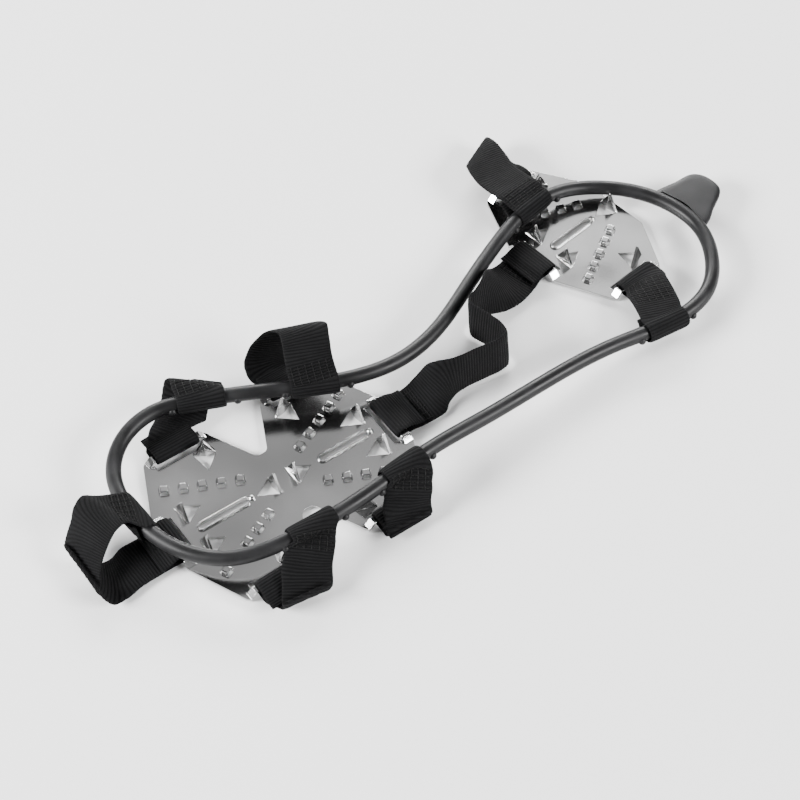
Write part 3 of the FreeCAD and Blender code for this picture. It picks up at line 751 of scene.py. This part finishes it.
def rubber_material():
    """Moulded rubber: charcoal with a soft sheen, fine grain and a little dust."""
    if "rubber" in MADE:
        return MADE["rubber"]
    rubber, s = settings("rubber"), Shader("moulded_rubber")
    s.set(Specular_IOR_Level=0.22)
    grain, patches = s.grain(2600.0, 90.0, 4.0)
    colour = s.mix(s.span(patches, 0.4, 0.7, 0.0, 1.0), shade_of(rubber.colour, 0.8),
                   shade_of(rubber.colour, 1.5))
    s.link(colour, s.shade.inputs["Base Color"])
    s.link(s.span(patches, 0.3, 0.7, 0.36, 0.5), s.shade.inputs["Roughness"])
    s.link(s.bump(grain, 0.00006, 0.6), s.shade.inputs["Normal"])
    MADE["rubber"] = s.material
    return s.material


def webbing_material():
    """Ribbed polyester webbing: each rib is a bundle of fine yarns, with a painted highlight on each rib's
    crown and painted shade in the grooves and between the yarns.
    """
    if "webbing" in MADE:
        return MADE["webbing"]
    webbing, s = settings("webbing"), Shader("black_webbing")
    s.set(Roughness=0.7, Sheen_Weight=0.02, Sheen_Roughness=0.4, Specular_IOR_Level=0.07)
    uv = s.add("ShaderNodeUVMap", uv_map="yarn")
    split = s.add("ShaderNodeSeparateXYZ")
    s.link(uv.outputs["UV"], split.inputs["Vector"])
    along, across = split.outputs["X"], split.outputs["Y"]
    crown = s.math("ABSOLUTE", s.math("SINE", s.math("MULTIPLY", along, math.pi)))
    step = s.math("MULTIPLY", s.math("FLOOR", along), 0.5)
    yarn = s.math("ABSOLUTE", s.math("SINE", s.math("MULTIPLY", s.math(
        "ADD", s.math("MULTIPLY", across, 2.1), step), math.pi)))
    fuzz, patches = s.grain(5200.0, 140.0, 4.0)
    # Painted shade and highlight: this tone darkens the grooves between ribs and the gaps between yarns, and
    # lightens each rib's crown.
    tone = s.math("MULTIPLY", s.span(crown, 0.1, 0.95, 0.15, 1.0), s.span(yarn, 0.0, 0.8, 0.6, 1.0))
    # The patches add a random tone on top of the painted shade.
    tone = s.math("MULTIPLY", tone, s.span(patches, 0.3, 0.7, 0.75, 1.2))
    # The base colour carries the painted shade and highlight of the ribs and yarns.
    s.link(s.mix(tone, shade_of(webbing.colour, 0.25), shade_of(webbing.colour, 1.7)),
           s.shade.inputs["Base Color"])
    relief = s.math("ADD", s.math("MULTIPLY", yarn, crown), s.math("MULTIPLY", fuzz, 0.6))
    s.link(s.bump(relief, 0.00012, 0.8), s.shade.inputs["Normal"])
    MADE["webbing"] = s.material
    return s.material


def thread_material():
    """Bonded sewing thread: black, a little glossier than the webbing."""
    if "thread" in MADE:
        return MADE["thread"]
    thread, s = settings("thread"), Shader("sewing_thread")
    s.set(Sheen_Weight=0.02, Sheen_Roughness=0.35, Specular_IOR_Level=0.15)
    twist, patches = s.grain(3800.0, 300.0, 2.0)
    s.link(s.mix(patches, shade_of(thread.colour, 0.6), shade_of(thread.colour, 2.0)),
           s.shade.inputs["Base Color"])
    s.link(s.span(patches, 0.3, 0.7, 0.42, 0.6), s.shade.inputs["Roughness"])
    s.link(s.bump(twist, 0.00005, 0.7), s.shade.inputs["Normal"])
    MADE["thread"] = s.material
    return s.material


def floor_material():
    """A matt pale floor with the faintest unevenness."""
    s = Shader("pale_floor")
    grain, patches = s.grain(60.0, 2.0, 2.0)
    tone = settings("stage").floor
    s.link(s.mix(s.span(patches, 0.3, 0.7, 0.0, 1.0), shade_of(tone, 0.995), shade_of(tone, 1.0)),
           s.shade.inputs["Base Color"])
    s.set(Roughness=0.9, Specular_IOR_Level=0.1)
    s.link(s.bump(grain, 0.00001, 0.2), s.shade.inputs["Normal"])
    return s.material


# ---- operators -----------------------------------------------------------------------------

def lamp(name, spot, aim, size, power):
    data = bpy.data.lights.new(name, "AREA")
    data.shape, data.size, data.size_y, data.energy = "RECTANGLE", size[0], size[1], power
    light = bpy.data.objects.new(name, data)
    light.location = spot
    light.rotation_euler = (Vector(aim) - Vector(spot)).to_track_quat("-Z", "Y").to_euler()
    bpy.context.scene.collection.objects.link(light)


class MICROSPIKES_OT_stage(bpy.types.Operator):
    """Set up the floor, the soft lights and the camera"""
    bl_idname = "microspikes.stage"
    bl_label = "Stage"

    def execute(self, context):
        stage = settings("stage")
        half = 2.0
        floor = new_piece("floor", [(-half, -half, FLOOR_Z), (half, -half, FLOOR_Z), (half, half, FLOOR_Z),
                                    (-half, half, FLOOR_Z)], [(0, 1, 2, 3)], floor_material(), smooth=False)
        data = bpy.data.cameras.new("camera")
        data.lens, data.sensor_width, data.clip_start, data.clip_end = stage.lens, 36.0, 0.01, 20.0
        camera = bpy.data.objects.new("camera", data)
        camera.location = stage.camera
        aim = Vector(stage.target) - Vector(stage.camera)
        camera.rotation_euler = aim.to_track_quat("-Z", "Y").to_euler()
        context.scene.collection.objects.link(camera)
        context.scene.camera = camera
        world = bpy.data.worlds.new("studio")
        world.use_nodes = True
        world.node_tree.nodes["Background"].inputs["Color"].default_value = (0.8, 0.8, 0.8, 1)
        world.node_tree.nodes["Background"].inputs["Strength"].default_value = 0.28
        context.scene.world = world
        lamp("key_light", (-1.3, 0.5, 0.7), (0.07, 0.0, 0.0), (0.8, 0.5), 84.0)
        lamp("fill_light", (0.9, -1.2, 0.8), (0.07, 0.0, 0.0), (0.9, 0.5), 56.0)
        lamp("back_light", (0.9, 1.3, 0.7), (0.07, 0.0, 0.0), (1.4, 0.4), 56.0)
        lamp("sky_panel", (0.63, 0.82, 1.27), (0.07, 0.0, 0.0), (1.5, 1.5), 2.4)
        lamp("heel_panel", (1.55, 1.2, 1.6), (0.18, 0.04, 0.0), (0.8, 0.8), 2.2)
        return {"FINISHED"}


class MICROSPIKES_OT_plates(bpy.types.Operator):
    """Finish the two spiked plates as polished stainless sheet"""
    bl_idname = "microspikes.plates"
    bl_label = "Plates"

    def execute(self, context):
        for name in ("forefoot_plate", "heel_plate"):
            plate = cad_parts[name]
            plate.data.materials.clear()
            plate.data.materials.append(steel_material())
        return {"FINISHED"}


class MICROSPIKES_OT_ring(bpy.types.Operator):
    """Build the rubber ring with its small stops"""
    bl_idname = "microspikes.ring"
    bl_label = "Ring"

    def execute(self, context):
        rubber = settings("rubber")
        line, _ = evenly(RING_LINE, RING_RUN, 0.9)
        places = [strap["ring"] for strap in STRAPS.values()] + [("x", TAUT_STRAP_X, -1)]
        offset = rubber.nub_offset / MM
        stops = []
        for place in places:
            middle = RING_RUN[ring_index(place)]
            for side in (-1, 1):
                at = (middle + side * offset) % RING_RUN[-1]
                spot = np.array([np.interp(at, RING_RUN, column) for column in RING_LINE.T])
                stops.append((spot + np.array(NUB_DROP) - np.array([0, rubber.tube_radius / MM, 0])) * MM)
        ring = strands("rubber_ring", [line[:-1] * MM], True, rubber.tube_radius, 28, rubber_material(),
                       stops, rubber.nub_radius)
        turn_outwards(ring)
        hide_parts("ring_front", "ring_rear")
        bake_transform(ring, FORE, HEEL, FOLD_START, FOLD_END)
        return {"FINISHED"}


class MICROSPIKES_OT_pull_tab(bpy.types.Operator):
    """Build the moulded pull tab behind the heel"""
    bl_idname = "microspikes.pull_tab"
    bl_label = "Pull tab"

    def execute(self, context):
        outline, _, _ = dense_line([(222.6, 3.2, 0), (226.4, 3.2, 0), (236, 8.8, 0), (243, 13, 0),
                                    (246.6, 17, 0), (246.9, 21.6, 0), (245.4, 27, 0), (241.6, 30.6, 0),
                                    (234, 31.2, 0), (226.4, 31.8, 0), (219.8, 31.2, 0), (221.4, 22.4, 0),
                                    (222.8, 12, 0)], closed=True, steps=10)
        outline = outline[:-1, :2]
        way = unit(np.gradient(outline, axis=0))
        inward = np.stack([-way[:, 1], way[:, 0]], axis=1)
        rings = [(0.0, 0.0), (0.1, 0.5), (0.36, 0.92), (0.8, 1.2), (1.5, 1.36), (2.6, 1.45), (4.0, 1.5)]
        layers = [(inset, z) for inset, z in rings[::-1]] + [(inset, -z) for inset, z in rings[1:]]
        verts, count = [], len(outline)
        for inset, z in layers:
            edge = outline + inward * inset
            verts += [(x * MM, y * MM, (TAB_MIDDLE_Z + z) * MM) for x, y in edge]
        faces = []
        for k in range(len(layers) - 1):
            a, b = k * count, (k + 1) * count
            faces += [(a + c, b + c, b + (c + 1) % count, a + (c + 1) % count) for c in range(count)]
        faces.append(tuple(range(count)))
        faces.append(tuple((len(layers) - 1) * count + c for c in range(count))[::-1])
        tab = new_piece("rubber_pull_tab", verts, faces, rubber_material())
        turn_outwards(tab)
        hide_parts("pull_tab")
        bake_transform(tab, HEEL, "tab", *TAB_BEND)
        return {"FINISHED"}


def finish_strap(name, rows, body, seed, slant_limit=0.5):
    band = Band(rows, slant_limit)
    piece = webbing_mesh(name + "_webbing", band, webbing_material(), seed)
    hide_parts(name)
    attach(piece, body)
    BANDS[name] = band
    return band


BANDS = {}
SEWN = {}


class MICROSPIKES_OT_straps(bpy.types.Operator):
    """Build the seven webbing straps that hold the ring to the plates"""
    bl_idname = "microspikes.straps"
    bl_label = "Ring straps"

    def execute(self, context):
        for seed, (name, strap) in enumerate(STRAPS.items()):
            rows, leave = ring_strap_rows(strap)
            band = finish_strap(name, rows, strap["body"], seed, strap.get("slant_limit", 0.5))
            SEWN[name] = (band.marks[leave] + 0.5, band.marks[leave] + 8.5)
        rows, leave = taut_heel_rows()
        band = finish_strap("heel_strap_right", rows, HEEL, 11)
        SEWN["heel_strap_right"] = (band.marks[leave] + 3.0, band.marks[leave] + 19.0)
        return {"FINISHED"}


class MICROSPIKES_OT_connecting_strap(bpy.types.Operator):
    """Build the strap that joins the two plates"""
    bl_idname = "microspikes.connecting_strap"
    bl_label = "Connecting strap"

    def execute(self, context):
        rows, first, last = connecting_rows()
        band = Band(rows)
        piece = webbing_mesh("connecting_strap_webbing", band, webbing_material(), 21)
        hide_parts("connecting_strap_front", "connecting_strap_rear")
        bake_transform(piece, FORE, HEEL, FOLD_START, FOLD_END)
        BANDS["connecting_strap"] = band
        SEWN["connecting_front"] = (band.marks[first] - 2.0, band.marks[first] + 6.0)
        SEWN["connecting_rear"] = (band.marks[last] - 8.0, band.marks[last] + 1.0)
        return {"FINISHED"}


def stitch_lines(band, zone):
    """Stitches in close rows both ways over a sewn zone, on the webbing's upper face."""
    thread, webbing = settings("thread"), settings("webbing")
    first, last = zone
    pitch, spacing = thread.stitch / MM, thread.spacing / MM
    half = webbing.width / MM / 2 - 1.6
    middle = (first + last) / 2
    face = 1 if band.spot(middle, 0, 1)[2] > band.spot(middle, 0, -1)[2] else -1
    height = face * (webbing.thickness / MM / 2)
    lines = []

    def stitch(a, b):
        ends = [(a, -0.16), (tuple(np.array(a) * 0.75 + np.array(b) * 0.25), 0.14),
                (tuple(np.array(a) * 0.25 + np.array(b) * 0.75), 0.14), (b, -0.16)]
        lines.append([band.spot(p[0], p[1], height + face * lift) * MM for p, lift in ends])

    for across_at in np.arange(first, last + 0.1, spacing):
        for side in np.arange(-half, half - pitch * 0.6, pitch):
            stitch((across_at, side + 0.12), (across_at + 0.12, side + pitch - 0.12))
    for side in np.arange(-half, half + 0.1, spacing * 1.25):
        for at in np.arange(first, last - pitch * 0.6, pitch):
            stitch((at + 0.12, side), (at + pitch - 0.12, side + 0.1))
    return lines


class MICROSPIKES_OT_stitching(bpy.types.Operator):
    """Sew the straps where they close round the ring and the bars"""
    bl_idname = "microspikes.stitching"
    bl_label = "Stitching"

    def execute(self, context):
        thread = settings("thread")
        jobs = [(name.replace("_strap", "_stitching"), BANDS[name], SEWN[name],
                 HEEL if name.startswith("heel") else FORE)
                for name in BANDS if name != "connecting_strap"]
        jobs += [("connecting_stitching_front", BANDS["connecting_strap"], SEWN["connecting_front"], FORE),
                 ("connecting_stitching_rear", BANDS["connecting_strap"], SEWN["connecting_rear"], HEEL)]
        for name, band, zone, body in jobs:
            piece = strands(name + "_thread", stitch_lines(band, zone), False, thread.radius, 6,
                            thread_material())
            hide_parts(name)
            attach(piece, body)
        return {"FINISHED"}


class MICROSPIKES_PT_panel(bpy.types.Panel):
    """Lists the parts of the microspikes"""
    bl_idname = "MICROSPIKES_PT_panel"
    bl_label = "Microspikes"
    bl_space_type = "VIEW_3D"
    bl_region_type = "UI"
    bl_category = "Microspikes"

    def draw(self, context):
        for step in STEPS:
            self.layout.operator("microspikes." + step)
        for group in GROUPS:
            box = self.layout.box()
            box.label(text=group.capitalize())
            values = settings(group)
            for title in values.bl_rna.properties.keys():
                if title not in ("rna_type", "name"):
                    box.prop(values, title)


STEPS = ("stage", "plates", "ring", "pull_tab", "straps", "connecting_strap", "stitching")
GROUPS = {"webbing": WebbingSettings, "thread": ThreadSettings, "rubber": RubberSettings,
          "steel": SteelSettings, "stage": StageSettings}
CLASSES = (*GROUPS.values(), MICROSPIKES_OT_stage, MICROSPIKES_OT_plates, MICROSPIKES_OT_ring,
           MICROSPIKES_OT_pull_tab, MICROSPIKES_OT_straps, MICROSPIKES_OT_connecting_strap,
           MICROSPIKES_OT_stitching, MICROSPIKES_PT_panel)


def register():
    for item in CLASSES:
        bpy.utils.register_class(item)
    for name, group in GROUPS.items():
        setattr(bpy.types.Scene, "microspikes_" + name, bpy.props.PointerProperty(type=group))


def unregister():
    for name in GROUPS:
        delattr(bpy.types.Scene, "microspikes_" + name)
    for item in reversed(CLASSES):
        bpy.utils.unregister_class(item)


def main():
    register()
    for step in STEPS:
        getattr(bpy.ops.microspikes, step)()


if __name__ == "__main__":
    main()
